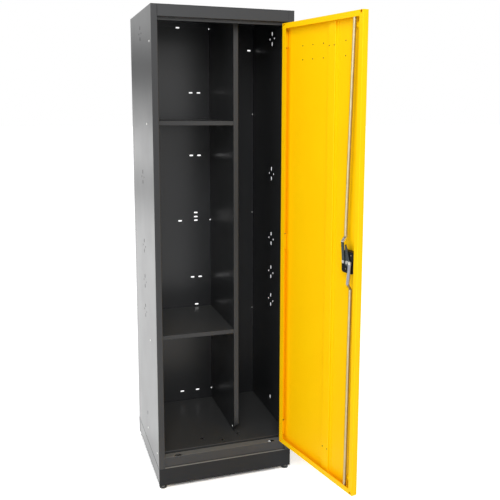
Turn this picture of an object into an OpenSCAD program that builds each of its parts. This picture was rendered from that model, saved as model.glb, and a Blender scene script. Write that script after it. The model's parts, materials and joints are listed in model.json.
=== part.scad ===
// Tall steel storage cabinet with one inset door, an upright partition, two shelves,
// a recessed plinth rail and a rod lock that bolts the door at its top, bottom and side.
// All sizes are in millimetres. X runs to the right along the front, Y runs to the back
// and Z runs up. The origin is under the middle of the front left foot, on the ground.

/* [Body] */
// Width of the body over its side panels
body_w = 530; // [480:5:640]
// Depth of the body from the front posts to the back
body_d = 500; // [440:5:600]
// Height of the body from the lower edge of the plinth to the roof
body_h = 1785; // [1700:5:1950]
// Thickness of the body's steel sheet
sheet = 1; // [0.8:0.1:1.2]
// Radius of a fold, measured on the middle of the sheet
bend_r = 1.5; // [1:0.1:2]
// Width of the front posts folded from the side panels
post_w = 23; // [20:1:28]
// Width of the lip that closes a front post at its back
post_lip = 12; // [8:1:14]
// Width of the flange behind the back panel
rear_flange = 15; // [10:1:22]
// Depth of the flanges that hang from the roof
roof_flange = 20; // [12:1:30]

/* [Plinth] */
// Height of the plinth
plinth_h = 69; // [55:1:90]
// Width of the plinth's lower flange
plinth_flange = 8; // [5:1:9]
// How far the plinth's sides stand in from the side panels
plinth_inset = 1; // [0.5:0.1:2]
// Height of the rail between the plinth and the door
rail_h = 39; // [30:1:50]
// How far the rail stands back from the posts
rail_recess = 7; // [5:0.5:8]
// Depth of the rail's upper flange, measured from the front of the posts
rail_depth = 38; // [28:1:44]

/* [Head] */
// Height of the head piece over the door
head_h = 41; // [30:1:60]
// Height of the lip that the door closes against
stop_lip_h = 10; // [6:1:14]
// How far the stop lip stands behind the closed door
stop_gap = 2; // [1:0.5:3]

/* [Inside] */
// How far the floor lies above the rail
floor_rise = 10; // [6:1:24]
// Depth of the flanges under the floor and the shelves
shelf_flange = 25; // [18:1:35]
// Height of the front edge of a shelf
shelf_lip = 17; // [12:1:24]
// Depth of the hem folded back under a shelf's front edge
shelf_hem = 10; // [6:1:16]
// Height of the upper shelf over the plinth's lower edge
shelf_upper_z = 1380; // [1250:5:1500]
// Height of the lower shelf over the plinth's lower edge
shelf_lower_z = 552; // [400:5:700]
// Distance from the left side to the partition
partition_x = 330; // [280:5:380]
// Width of the folded front edge of the partition
partition_lip = 20; // [12:1:24]
// Depth of the fold behind the partition's front edge
partition_return = 12; // [8:1:18]
// Distance from the front to the partition
partition_y = 120; // [90:5:150]
// How far the partition's front edge stops above the floor
partition_clear = 33; // [20:1:50]
// How far the shelves lie behind the partition's front
shelf_setback = 2; // [1:0.5:6]

// Length of the slots in the side and back panels
slot_l = 16; // [10:1:24]
// Width of the slots in the back panel
slot_w = 6; // [4:0.5:9]
// Width of the slots in the side panels
side_slot_w = 9; // [4:0.5:9]
// Diameter of the three holes at the front of the floor
floor_hole_d = 9; // [5:0.5:12]

/* [Door] */
// Thickness of the door
door_t = 22; // [20.5:0.5:24]
// Thickness of the door's steel sheet
door_sheet = 1.2; // [1:0.1:1.4]
// Gap at both sides of the closed door
door_gap = 2.5; // [2:0.1:3.5]
// Gap over the closed door
door_gap_top = 6; // [2:0.5:8]
// Gap under the closed door
door_gap_low = 1.5; // [1:0.5:4]
// Angle at which the door stands open
open_angle = 102; // [0:1:113]
// Width of the door's inner lip on the hinge side
lip_hinge = 25; // [20:1:32]
// Width of the door's inner lip on the free side
lip_free = 20; // [16:1:22]
// Width of the door's upper and lower inner lips
lip_end = 19; // [14:1:24]
// Diameter of the relief hole in the corners of the inner lip
relief_d = 10; // [4:0.5:10]
// Distance from the door's side edges to the relief holes
relief_in = 11; // [8:0.5:14]
// Distance from the door's ends to the relief holes
relief_end = 5; // [5:0.5:10]
// Distance from the free edge to the middle of the stiffener
stiffener_in = 183; // [150:1:200]
// Width of the stiffener's raised face
stiffener_w = 41; // [30:1:56]
// Height of the stiffener over the door sheet
stiffener_h = 8; // [6:0.5:12]
// Width of each of the stiffener's feet
stiffener_foot = 12; // [8:1:16]
// Distance from the door's ends to the holes in the stiffener
stiffener_end = 97; // [60:1:200]
// Spacing of the holes in the stiffener, across the door
stiffener_pitch = 28; // [16:1:32]
// How far the rows of dimples for hooks are shifted from the stiffener
dimple_shift = 4; // [0:1:6]
// Spacing of the dimples for hooks, across the door
dimple_pitch = 64; // [50:1:66]
// Distance from the door's top to the first row of dimples
dimple_top = 86; // [60:1:160]
// Spacing of the two rows of dimples
dimple_rows = 49; // [30:1:80]

/* [Hinges] */
// Height of each hinge
hinge_h = 58; // [40:1:80]
// Distance from the door's ends to the outer hinges
hinge_end = 57; // [50:1:200]
// Outer radius of the hinge knuckles
knuckle_r = 3; // [2.8:0.1:3.1]
// Radius of the hinge pin
hinge_pin_r = 1.7; // [1.4:0.1:1.9]
// Thickness of the hinge leaves
leaf_t = 1.5; // [1.2:0.1:1.6]
// Radial clearance of turning pins and shafts
running_fit = 0.05; // [0.03:0.01:0.08]

/* [Lock] */
// Distance from the free edge to the lock's spindle
lock_in = 51; // [48:1:60]
// Distance from the spindle to the pins that drive the rods
crank_r = 17; // [16:0.5:20]
// Radius of the pins that drive the rods
crank_pin_r = 3.5; // [3:0.1:4]
// Length of the locking tongue from the spindle
tongue_l = 60; // [58:1:67]
// Width of the lock housing
housing_w = 62; // [50:1:64]
// Height of the lock housing
housing_h = 75; // [60:1:84]
// How far the middle of the housing lies behind the spindle, away from the free edge
housing_back = 4; // [2:0.5:8]
// Radius of the lock's spindle
spindle_r = 7; // [6:0.5:8]
// Radius of the lock rods
rod_r = 5.5; // [4:0.5:5.5]
// Distance from the door's outer face to the middle of the rods
rod_v = 15; // [12:0.5:15]
// Distance from the free edge to the rods at the door's ends
rod_in = 51; // [46:1:56]
// Distance from the door's ends to the rod guides
guide_inset = 43; // [42:1:80]
// Length of the bow of a rod guide
guide_l = 26; // [20:1:30]
// Width of a rod guide
guide_w = 14; // [8:1:16]
// How far the rod guides lie nearer to the free edge than the rods
guide_shift = 6; // [0:1:8]
// Length of the flat link of the upper rod
link_upper_l = 66; // [60:1:100]
// Length of the flat link of the lower rod
link_lower_l = 74; // [60:1:100]
// How far the upper rod stands aside from its pin
rod_upper_aside = 10; // [6:1:12]
// How far the lower rod stands aside from its pin
rod_lower_aside = 8; // [6:1:12]
// Radius of the knob's hub
hub_r = 18; // [16:0.5:20]
// Length of the knob's wing from end to end
wing_l = 74; // [60:1:84]
// How far the knob stands out from its plate
knob_out = 22; // [20:1:30]

/* [Feet] */
// Distance from the body's faces to the middle of each foot
foot_inset = 17; // [16:0.5:22]
// Distance from the ground to the plinth
foot_gap = 15; // [14:0.5:22]
// Radius of a foot's pad
foot_r = 14; // [12:0.5:15]
// Radius of a foot's stud
stud_r = 5; // [4:0.5:6]
// Side of the square plate that carries a foot
foot_plate = 50; // [44:1:70]

/* [Hidden] */
$fn = 48;
eps = 0.01;

// Folds
half_sheet = sheet / 2;
corner_r = bend_r + half_sheet;

// Heights in the body
rail_top = plinth_h + rail_h;
floor_z = rail_top + floor_rise;
head_z = body_h - sheet - head_h;

// The door, and the hinge axis just inside its hinge edge
post_d = door_t - 1;
door_x0 = post_w + door_gap;
door_x1 = body_w - post_w - door_gap;
door_w = door_x1 - door_x0;
door_z = rail_top + door_gap_low;
door_h = head_z - door_gap_top - door_z;
pivot_back = knuckle_r + 0.3;
pivot_side = pivot_back * 1.58;
pivot_x = body_w - post_w - pivot_side;
pivot_u = door_x1 - pivot_x;
hinge_spread = door_h / 2 - hinge_end;
hinge_places = [-hinge_spread, 0, hinge_spread];
notch_h = hinge_h + 2;
notch_clear = 0.6;
knuckle_gap = 0.5;
knuckle_h = (hinge_h - 2 * knuckle_gap) / 3;
leaf_w = door_t - 4;
leaf_in = lip_hinge - 1.5 * knuckle_r;
leaf_rise = 9;

// Places measured from the free edge
stiffener_u = door_w - stiffener_in;
rod_u = door_w - rod_in;

// The lock, from the door's outer face inwards
lock_u = door_w - lock_in;
lock_z = door_h / 2;
cam_v = door_t + 0.3;
cam_t = 3;
link_v = cam_v + cam_t + 0.5;
link_t = 3;
link_w = 13;
pin_cap_v = link_v + link_t + 0.4;
pin_cap_t = 1.4;
jog_l = 16;
rod_end_gap = 3;
rod_slot_w = 2 * rod_r + 2;
rod_slot_l = 2 * rod_r + 16;
rod_x = door_x0 + rod_in;
guide_clear = 0.4;
guide_foot = 6;
plate_t = 6;
plug_r = 8;
plug_seat = 8;
knob_base = 7;
knob_gap = 0.3;
spindle_square = 1.35 * spindle_r;
square_fit = 0.1;
boss_r = 13;
arm_r = 8;
screw_u = 14;
screw_up = 25;
screw_r = 3;
housing_corner = 9;
housing_top = door_t - 1;

// Feet
pad_h = 7;
collar_r = 8;
collar_h = foot_gap + sheet - pad_h;
plate_h = 3;
nut_h = 12;
stud_top = 46;
foot_x = [foot_inset, body_w - foot_inset];
foot_y = [foot_inset, body_d - foot_inset];

// Slots and holes in the sheets: heights over the plinth's lower edge and distances from
// the roof, the floor and the middle of the panel
side_groups = [1162, 889, 746, 625];
side_top = 80;
side_low = 74;
side_slot_rise = 20;
side_hole_out = 27;
back_pairs = [1492, 1225, 687];
back_middle = [941, 957, 975, 562, 161];
back_pair_pitch = 34;
back_spread = 70;
back_top = 25;
back_low = 43;
back_edge = 22;
back_edge_top = 109;
// Holes in the floor: from the body's middle and from its front
floor_holes = [[-74, 102], [0, 66], [74, 102]];
spindle_hole_r = spindle_r + 3;
hook_hole_r = 2.2;

// Body coordinates: from the left face, the front plane and the plinth's lower edge
module in_body() {
    translate([-foot_inset, -foot_inset, foot_gap]) children();
}

// Door coordinates: from the hinge edge, the outer face and the door's lower edge
module in_door() {
    in_body()
        translate([pivot_x, pivot_back, door_z])
            rotate([0, 0, open_angle])
                translate([pivot_u, -pivot_back, 0])
                    mirror([1, 0, 0]) children();
}

// Turns a profile drawn in Y and Z along X
module along_x(from, to) {
    translate([from, 0, 0]) rotate([90, 0, 90]) linear_extrude(to - from) children();
}

// Turns a profile drawn in X and Z along Y
module along_y(from, to) {
    translate([0, to, 0]) rotate([90, 0, 0]) linear_extrude(to - from) children();
}

// A folded sheet seen from its edge: square folds with a rounded corner along a path
// given on the middle of the sheet
function unit(a, b) = (b - a) / norm(b - a);
module folded(path, t, r) {
    last = len(path) - 1;
    for (i = [0:last - 1]) {
        d = unit(path[i], path[i + 1]);
        a = path[i] + (i > 0 ? r * d : [0, 0]);
        b = path[i + 1] - (i < last - 1 ? r * d : [0, 0]);
        translate(a) rotate(atan2(d[1], d[0]))
            translate([0, -t / 2]) square([norm(b - a), t]);
    }
    for (i = [1:1:last - 1]) {
        d_in = unit(path[i - 1], path[i]);
        d_out = unit(path[i], path[i + 1]);
        c = path[i] - r * d_in + r * d_out;
        far = c + (r + t) * (d_in - d_out);
        intersection() {
            translate(c) difference() {
                circle(r + t / 2);
                circle(r - t / 2);
            }
            translate([min(c[0], far[0]), min(c[1], far[1])]) square(r + t);
        }
    }
}

// A slot with round ends through a sheet, along X, Y or Z before it is placed
module slot_x(l, w, depth) {
    translate([-(l - w) / 2, -w / 2, -depth / 2]) cube([l - w, w, depth]);
    for (s = [-1, 1]) translate([s * (l - w) / 2, 0, 0])
        cylinder(r = w / 2, h = depth, center = true);
}

// Slots for hook rails in a side panel: two upright slots and two holes at mid depth
module side_slots() {
    for (z = [body_h - side_top, each side_groups])
        translate([0, body_d / 2, z]) rotate([0, 90, 0])
            for (s = [-1, 1]) {
                translate([s * side_slot_rise, 0, 0]) slot_x(slot_l, side_slot_w, 6 * sheet);
                translate([0, s * side_hole_out, 0])
                    cylinder(r = side_slot_w / 2 - 0.5, h = 6 * sheet, center = true);
            }
    translate([0, body_d / 2, floor_z + side_low]) rotate([0, 90, 0])
        slot_x(slot_l, side_slot_w, 6 * sheet);
}

// A side panel with the front post and the rear flange folded from it
module side_panel() {
    difference() {
        translate([0, 0, plinth_h]) linear_extrude(body_h - sheet - plinth_h)
            folded([[rear_flange, body_d - half_sheet], [half_sheet, body_d - half_sheet],
                    [half_sheet, half_sheet], [post_w - half_sheet, half_sheet],
                    [post_w - half_sheet, post_d - half_sheet],
                    [post_w - post_lip, post_d - half_sheet]], sheet, bend_r);
        side_slots();
    }
}

module side_left() {
    color("#4f5052") in_body() side_panel();
}

module side_right() {
    color("#4f5052") in_body() translate([body_w, 0, 0]) mirror([1, 0, 0]) side_panel();
}

// The back panel lies inside the rear flanges, with slots for fixing and hanging
module back_panel() {
    y0 = body_d - 2 * sheet;
    color("#4a4b4d") in_body() difference() {
        translate([corner_r, y0, plinth_h])
            cube([body_w - 2 * corner_r, sheet, body_h - sheet - plinth_h]);
        for (z = back_pairs, s = [-1, 1]) back_slot(s * back_pair_pitch / 2, z);
        for (z = back_middle) back_slot(0, z);
        for (z = [back_middle[0], floor_z + back_low, body_h - back_top], s = [-1, 1])
            back_slot(s * back_spread, z);
        for (s = [-1, 1]) back_slot(s * (body_w / 2 - back_edge), body_h - back_edge_top);
    }
}

// A level slot in the back panel, placed from the panel's middle
module back_slot(x, z) {
    translate([body_w / 2 + x, body_d, z]) rotate([90, 0, 0])
        slot_x(slot_l, slot_w, 6 * sheet);
}

// The roof lies on the side panels and hangs its flanges inside them
module top_panel() {
    back = body_d - 2 * sheet;
    front = post_d + 1;
    color("#4f5052") in_body() {
        translate([0, 0, body_h - sheet]) cube([body_w, body_d, sheet]);
        for (x = [sheet, body_w - 2 * sheet])
            translate([x, front, body_h - sheet - roof_flange])
                cube([sheet, back - front, roof_flange + eps]);
        translate([2 * sheet, back - sheet, body_h - sheet - roof_flange])
            cube([body_w - 4 * sheet, sheet, roof_flange + eps]);
    }
}

// The head piece over the door, with its keeper slots and the stop lip behind them
module head_piece() {
    stop_y = door_t + stop_gap;
    color("#505153") in_body() difference() {
        along_x(post_w, body_w - post_w)
            folded([[post_d - 2, head_z + head_h - half_sheet],
                    [half_sheet, head_z + head_h - half_sheet],
                    [half_sheet, head_z + half_sheet],
                    [stop_y + half_sheet, head_z + half_sheet],
                    [stop_y + half_sheet, head_z - stop_lip_h]], sheet, bend_r);
        keeper_slots(head_z);
    }
}

// Slots that take the ends of the lock rods, on both sides, for either hand of door
module keeper_slots(z) {
    for (x = [rod_x, body_w - rod_x])
        translate([x, rod_v, z]) slot_x(rod_slot_l, rod_slot_w, 10);
}

// The rail above the plinth, standing back from the posts
module bottom_rail() {
    color("#4a4b4d") in_body() difference() {
        along_x(post_w, body_w - post_w)
            folded([[rail_depth, plinth_h + half_sheet],
                    [rail_recess + half_sheet, plinth_h + half_sheet],
                    [rail_recess + half_sheet, rail_top - half_sheet],
                    [rail_depth, rail_top - half_sheet]], sheet, bend_r);
        keeper_slots(rail_top);
    }
}

// The floor with its front edge folded down to the rail
module floor_panel() {
    back = body_d - 2 * sheet;
    color("#4a4b4d") in_body() {
        difference() {
            along_x(sheet, body_w - sheet)
                folded([[rail_depth + half_sheet, rail_top - sheet],
                        [rail_depth + half_sheet, floor_z - half_sheet],
                        [back - half_sheet, floor_z - half_sheet],
                        [back - half_sheet, floor_z - shelf_flange]], sheet, bend_r);
            for (hole = floor_holes)
                translate([body_w / 2 + hole[0], hole[1], floor_z])
                    cylinder(d = floor_hole_d, h = 6 * sheet, center = true);
        }
        for (x = [sheet, body_w - 2 * sheet])
            translate([x, rail_depth + 8, floor_z - shelf_flange])
                cube([sheet, back - rail_depth - 16, shelf_flange - half_sheet]);
    }
}

// A plinth board with a flange at its top and its bottom, drawn in depth and height
module plinth_profile(top_flange) {
    folded([[top_flange, plinth_h - half_sheet], [half_sheet, plinth_h - half_sheet],
            [half_sheet, half_sheet], [plinth_flange, half_sheet]], sheet, bend_r);
}

module plinth_front() {
    color("#4d4e50") in_body() along_x(0, body_w) plinth_profile(rail_depth);
}

module plinth_rear() {
    color("#4d4e50") in_body() translate([0, body_d, 0]) mirror([0, 1, 0])
        along_x(0, body_w) plinth_profile(rear_flange);
}

module plinth_side() {
    difference() {
        translate([plinth_inset, 0, 0])
            along_y(sheet, body_d - sheet) plinth_profile(rear_flange);
        // The flanges are cut short at both ends, where those of the boards across lie
        for (y = [[-1, rail_depth], [body_d - rear_flange, body_d + 1]])
            translate([plinth_inset - 1, y[0], plinth_h - corner_r])
                cube([rear_flange + 2, y[1] - y[0], corner_r + 1]);
        for (y = [[-1, plinth_flange], [body_d - plinth_flange, body_d + 1]])
            translate([plinth_inset - 1, y[0], -1])
                cube([rear_flange + 2, y[1] - y[0], corner_r + 1]);
    }
}

module plinth_left() {
    color("#4d4e50") in_body() plinth_side();
}

module plinth_right() {
    color("#4d4e50") in_body() translate([body_w, 0, 0]) mirror([1, 0, 0]) plinth_side();
}

// The partition: an upright web, a folded front edge and a flange at the back
module partition() {
    back = body_d - 2 * sheet;
    top = body_h - sheet;
    color("#505153") in_body() {
        difference() {
            translate([0, 0, floor_z]) linear_extrude(top - floor_z)
                folded([[partition_x + partition_lip - half_sheet,
                         partition_y + partition_return],
                        [partition_x + partition_lip - half_sheet, partition_y + half_sheet],
                        [partition_x + half_sheet, partition_y + half_sheet],
                        [partition_x + half_sheet, back - half_sheet],
                        [partition_x + partition_lip, back - half_sheet]], sheet, bend_r);
            // The front edge stops short of the floor with a sloping end
            along_y(partition_y - 1, partition_y + partition_return + 1)
                polygon([[partition_x + sheet, floor_z - 1],
                         [partition_x + partition_lip + 1, floor_z - 1],
                         [partition_x + partition_lip + 1, floor_z + partition_clear],
                         [partition_x + sheet, floor_z + partition_clear - partition_lip / 2]]);
            // A notch lets the roof's back flange pass
            translate([partition_x - 1, back - corner_r - 1, top - roof_flange - 1])
                cube([partition_lip + 2, corner_r + 2, roof_flange + 2]);
        }
    }
}

// A shelf with a folded front edge and flanges at its sides and back
module shelf(z) {
    front = partition_y + shelf_setback;
    back = body_d - 2 * sheet;
    along_x(sheet, partition_x)
        folded([[front + shelf_hem, z - shelf_lip + half_sheet],
                [front + half_sheet, z - shelf_lip + half_sheet],
                [front + half_sheet, z - half_sheet],
                [back - half_sheet, z - half_sheet],
                [back - half_sheet, z - shelf_flange]], sheet, bend_r);
    for (x = [sheet, partition_x - sheet])
        translate([x, front + shelf_hem + 2, z - shelf_flange])
            cube([sheet, back - front - shelf_hem - 2 - corner_r, shelf_flange - half_sheet]);
}

module shelf_upper() {
    color("#505153") in_body() shelf(shelf_upper_z);
}

module shelf_lower() {
    color("#505153") in_body() shelf(shelf_lower_z);
}

// Corner plates inside the plinth, each with a nut for the stud of its foot
module foot_plates() {
    color("silver") in_body()
        for (x = [0, 1], y = [0, 1]) difference() {
            union() {
                translate([x ? body_w - foot_plate - plinth_inset - corner_r
                             : plinth_inset + corner_r,
                           y ? body_d - foot_plate - corner_r : corner_r, sheet])
                    cube([foot_plate, foot_plate, plate_h]);
                translate([foot_x[x], foot_y[y], sheet + plate_h - eps])
                    cylinder(r = stud_r * 1.8, h = nut_h, $fn = 6);
            }
            translate([foot_x[x], foot_y[y], -1])
                cylinder(r = stud_r + running_fit, h = nut_h + 20);
        }
}

// One foot: a pad on the ground and the stud that carries it, screwed in as far as it goes
module foot_pad(x, y) {
    color("#202122") in_body() translate([foot_x[x], foot_y[y], -foot_gap]) {
        cylinder(r1 = foot_r - 1, r2 = foot_r, h = 1.5);
        translate([0, 0, 1.5]) cylinder(r = foot_r, h = pad_h - 3);
        translate([0, 0, pad_h - 1.5]) cylinder(r1 = foot_r, r2 = foot_r - 2.5, h = 1.5);
    }
}

module foot_stud(x, y) {
    color("silver") in_body() translate([foot_x[x], foot_y[y], -foot_gap + pad_h]) {
        cylinder(r = collar_r, h = collar_h, $fn = 6);
        translate([0, 0, collar_h - eps]) cylinder(r = stud_r, h = stud_top);
        translate([0, 0, collar_h + stud_top - 2 * eps])
            cylinder(r1 = stud_r, r2 = stud_r - 1, h = 1);
    }
}

// The leaf on the post, with the outer two knuckles of the hinge
module hinge_frame(place) {
    plate_x = body_w - post_w - leaf_t;
    color("#2f3032") in_body()
        translate([0, 0, door_z + door_h / 2 + hinge_places[place]])
            difference() {
                union() {
                    translate([plate_x, pivot_back + knuckle_r - leaf_t, -hinge_h / 2])
                        cube([leaf_t, leaf_w - knuckle_r, hinge_h]);
                    for (s = [-1, 1])
                        translate([0, 0, s * (hinge_h - knuckle_h) / 2 - knuckle_h / 2]) {
                            translate([pivot_x, pivot_back, 0])
                                cylinder(r = knuckle_r, h = knuckle_h);
                            translate([pivot_x, pivot_back + knuckle_r - leaf_t, 0])
                                cube([plate_x - pivot_x + eps, leaf_t, knuckle_h]);
                        }
                }
                translate([pivot_x, pivot_back, -hinge_h])
                    cylinder(r = hinge_pin_r + running_fit, h = 2 * hinge_h);
            }
}

module hinge_pin(place) {
    color("silver") in_body()
        translate([pivot_x, pivot_back, door_z + door_h / 2 + hinge_places[place]])
            translate([0, 0, -hinge_h / 2 + 0.5]) cylinder(r = hinge_pin_r, h = hinge_h - 1);
}

// The leaf inside the door, with the middle knuckle of the hinge. It is bent up beside the
// knuckles and closes the cut-out from the inside
module hinge_door(place) {
    leaf_u = pivot_u + knuckle_r + notch_clear;
    color("#ffcb00") in_door()
        translate([0, 0, door_h / 2 + hinge_places[place]]) difference() {
            union() {
                translate([pivot_u, pivot_back, -knuckle_h / 2])
                    cylinder(r = knuckle_r, h = knuckle_h);
                translate([pivot_u, door_sheet, -knuckle_h / 2])
                    cube([leaf_u - pivot_u + leaf_t, leaf_t, knuckle_h]);
                translate([0, 0, -hinge_h / 2]) linear_extrude(hinge_h)
                    folded([[leaf_u + leaf_t / 2, door_sheet + leaf_rise],
                            [leaf_u + leaf_t / 2, door_sheet + leaf_t / 2],
                            [leaf_in, door_sheet + leaf_t / 2]], leaf_t, bend_r);
            }
            translate([pivot_u, pivot_back, -hinge_h])
                cylinder(r = hinge_pin_r + running_fit, h = 2 * hinge_h);
        }
}

// The door: a shallow pan with a lip folded inwards all round
module door_panel() {
    half = door_sheet / 2;
    r = bend_r;
    color("#ffcb00") in_door() difference() {
        union() {
            linear_extrude(door_h)
                folded([[lip_hinge, door_t - half], [half, door_t - half], [half, half],
                        [door_w - half, half], [door_w - half, door_t - half],
                        [door_w - lip_free, door_t - half]], door_sheet, r);
            for (z = [0, door_h - door_sheet])
                translate([half, half, z])
                    cube([door_w - door_sheet, door_t - door_sheet, door_sheet]);
            for (z = [0, door_h - lip_end])
                translate([lip_hinge - eps, door_t - door_sheet, z])
                    cube([door_w - lip_hinge - lip_free + 2 * eps, door_sheet, lip_end]);
        }
        for (place = hinge_places) translate([0, 0, door_h / 2 + place]) hinge_notch();
        for (z = [0, door_h]) translate([rod_u, rod_v, z]) slot_x(rod_slot_l, rod_slot_w, 8);
        translate([lock_u, 0, lock_z]) rotate([90, 0, 0])
            cylinder(r = spindle_hole_r, h = 10, center = true);
        for (u = [relief_in, door_w - relief_in], z = [relief_end, door_h - relief_end])
            translate([u, door_t, z]) rotate([90, 0, 0])
                cylinder(r = relief_d / 2, h = 6, center = true);
        hook_dimples();
    }
}

// Cut-out at the door's hinge edge that lets the hinge knuckles pass
module hinge_notch() {
    translate([-1, -1, -notch_h / 2])
        cube([1 + pivot_u + knuckle_r + notch_clear, pivot_back + knuckle_r + 3, notch_h]);
}

// Two rows of dimples for hooks, in the door's inner face
module hook_dimples() {
    for (row = [0, 1], column = [-3, -2, -1, 1])
        translate([stiffener_u + dimple_shift + column * dimple_pitch, door_sheet,
                   door_h - dimple_top - row * dimple_rows])
            rotate([90, 0, 0]) cylinder(r = hook_hole_r, h = door_sheet, center = true);
}

// The hat-shaped stiffener from the bottom to the top of the door
module door_stiffener() {
    t = door_sheet;
    left = stiffener_u - stiffener_w / 2 + t / 2;
    right = stiffener_u + stiffener_w / 2 - t / 2;
    foot_v = door_sheet + t / 2;
    top_v = door_sheet + stiffener_h - t / 2;
    color("#ffcb00") in_door() difference() {
        translate([0, 0, door_sheet]) linear_extrude(door_h - 2 * door_sheet)
            folded([[left - stiffener_foot, foot_v], [left, foot_v], [left, top_v],
                    [right, top_v], [right, foot_v], [right + stiffener_foot, foot_v]], t, bend_r);
        for (z = [stiffener_end, door_h - stiffener_end], s = [-1, 1])
            translate([stiffener_u + s * stiffener_pitch / 2, top_v, z]) rotate([90, 0, 0])
                cylinder(r = hook_hole_r, h = 3 * t, center = true);
    }
}

// A bow over the door sheet, on whose crest a lock rod slides
module rod_guide(z) {
    t = door_sheet;
    middle = rod_u + guide_shift;
    rise = rod_v - rod_r - guide_clear - door_sheet;
    reach = guide_l / 2;
    outer_r = (reach * reach + rise * rise) / (2 * rise);
    color("#ffcb00") in_door() translate([0, door_sheet, z])
        along_x(middle - guide_w / 2, middle + guide_w / 2) {
            intersection() {
                translate([rise - outer_r, 0]) difference() {
                    circle(outer_r);
                    circle(outer_r - t);
                }
                translate([0, -reach]) square([rise + 1, 2 * reach]);
            }
            for (s = [-1, 1]) translate([0, s * (reach + guide_foot / 2 - t)])
                translate([0, -guide_foot / 2 - t / 2]) square([t, guide_foot + t]);
        }
}

module rod_guide_upper() {
    rod_guide(door_h - guide_inset);
}

module rod_guide_lower() {
    rod_guide(guide_inset);
}

// The black housing of the lock on the inside of the door
module lock_housing() {
    depth = housing_top - door_sheet;
    color("#17181a") in_door() difference() {
        translate([lock_u - housing_back, housing_top, lock_z]) rotate([90, 0, 0])
            linear_extrude(depth) rounded_plate(housing_w, housing_h, housing_corner);
        translate([lock_u, 0, lock_z]) rotate([-90, 0, 0])
            cylinder(r = spindle_r + running_fit, h = door_t + 5);
        for (s = [-1, 1])
            translate([lock_u + s * screw_u, housing_top, lock_z + s * screw_up])
                rotate([90, 0, 0]) cylinder(r = screw_r, h = 4, center = true);
    }
}

// The plate under the knob, on the outside of the door
module lock_plate() {
    w = 2 * hub_r + 10;
    h = 2 * hub_r + 30;
    color("#17181a") in_door() difference() {
        translate([lock_u, 0, lock_z]) rotate([90, 0, 0]) linear_extrude(plate_t)
            rounded_plate(w, h, housing_corner);
        translate([lock_u, 5, lock_z]) rotate([90, 0, 0])
            cylinder(r = spindle_r + running_fit, h = plate_t + 10);
    }
}

// A rectangle with round corners
module rounded_plate(w, h, r) {
    square([w - 2 * r, h], center = true);
    square([w, h - 2 * r], center = true);
    for (x = [-1, 1], y = [-1, 1]) translate([x * (w / 2 - r), y * (h / 2 - r)]) circle(r);
}

// The knob on the outside, with its wing upright while the lock is open
module turn_knob() {
    top = plate_t + knob_out;
    wing_w = 15;
    color("#17181a") in_door() translate([lock_u, 0, lock_z]) rotate([90, 0, 0]) difference() {
        union() {
            translate([0, 0, plate_t + knob_gap]) cylinder(r = hub_r, h = knob_base);
            translate([0, 0, plate_t + knob_gap + knob_base - eps])
                cylinder(r1 = hub_r, r2 = hub_r - 4, h = 5);
            translate([0, 0, plate_t + 5]) linear_extrude(knob_out - 5)
                rounded_plate(wing_w, wing_l, wing_w / 2 - eps);
            translate([0, 0, plate_t + 5]) cylinder(r = plug_r + 4, h = knob_out - 5);
        }
        translate([0, 0, plate_t - 1]) cylinder(r = spindle_r, h = plug_seat + 1);
        translate([0, 0, plate_t + plug_seat + eps]) cylinder(r = plug_r + running_fit, h = top);
    }
}

// The spindle from the knob through the housing to the cam
module lock_spindle() {
    color("silver") in_door() translate([lock_u, 0, lock_z]) {
        translate([0, -plate_t - plug_seat, 0]) rotate([-90, 0, 0])
            cylinder(r = spindle_r, h = plate_t + plug_seat + housing_top + 0.7);
        translate([-spindle_square / 2, housing_top, -spindle_square / 2])
            cube([spindle_square, cam_v + cam_t + 0.3 - housing_top, spindle_square]);
        translate([0, cam_v + cam_t + 0.2, 0]) rotate([-90, 0, 0])
            cylinder(r = spindle_r - 0.5, h = 3.5, $fn = 6);
    }
}

// The cam: a tongue that points up while the lock is open, and two pins for the rods
module lock_cam() {
    square_w = spindle_square + square_fit;
    color("#a9aaac") in_door() translate([lock_u, 0, lock_z]) {
        translate([0, cam_v + cam_t, 0]) rotate([90, 0, 0]) linear_extrude(cam_t)
            difference() {
                union() {
                    circle(boss_r);
                    square([2 * crank_r, 2 * arm_r], center = true);
                    for (s = [-1, 1]) translate([s * crank_r, 0]) circle(arm_r);
                    polygon([[-12, 4], [12, 4], [6, 22], [1, 40], [-10, tongue_l],
                             [-14, tongue_l - 4], [-13, 40]]);
                }
                square([square_w, square_w], center = true);
            }
        for (s = [-1, 1]) translate([s * crank_r, 0, 0]) {
            translate([0, cam_v + cam_t - eps, 0]) rotate([-90, 0, 0])
                cylinder(r = crank_pin_r, h = pin_cap_v - cam_v - cam_t + 2 * eps);
            translate([0, pin_cap_v, 0]) rotate([-90, 0, 0])
                cylinder(r = crank_pin_r + 2, h = pin_cap_t);
        }
    }
}

// The key plug in the knob, with its keyway
module key_plug() {
    h = knob_out - plug_seat + 0.6;
    color("silver") in_door() translate([lock_u, -plate_t - plug_seat - 0.3, lock_z])
        rotate([90, 0, 0])
        difference() {
            cylinder(r = plug_r, h = h);
            translate([-0.9, -4.5, h - 6]) cube([1.8, 9, 7]);
        }
}

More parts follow.
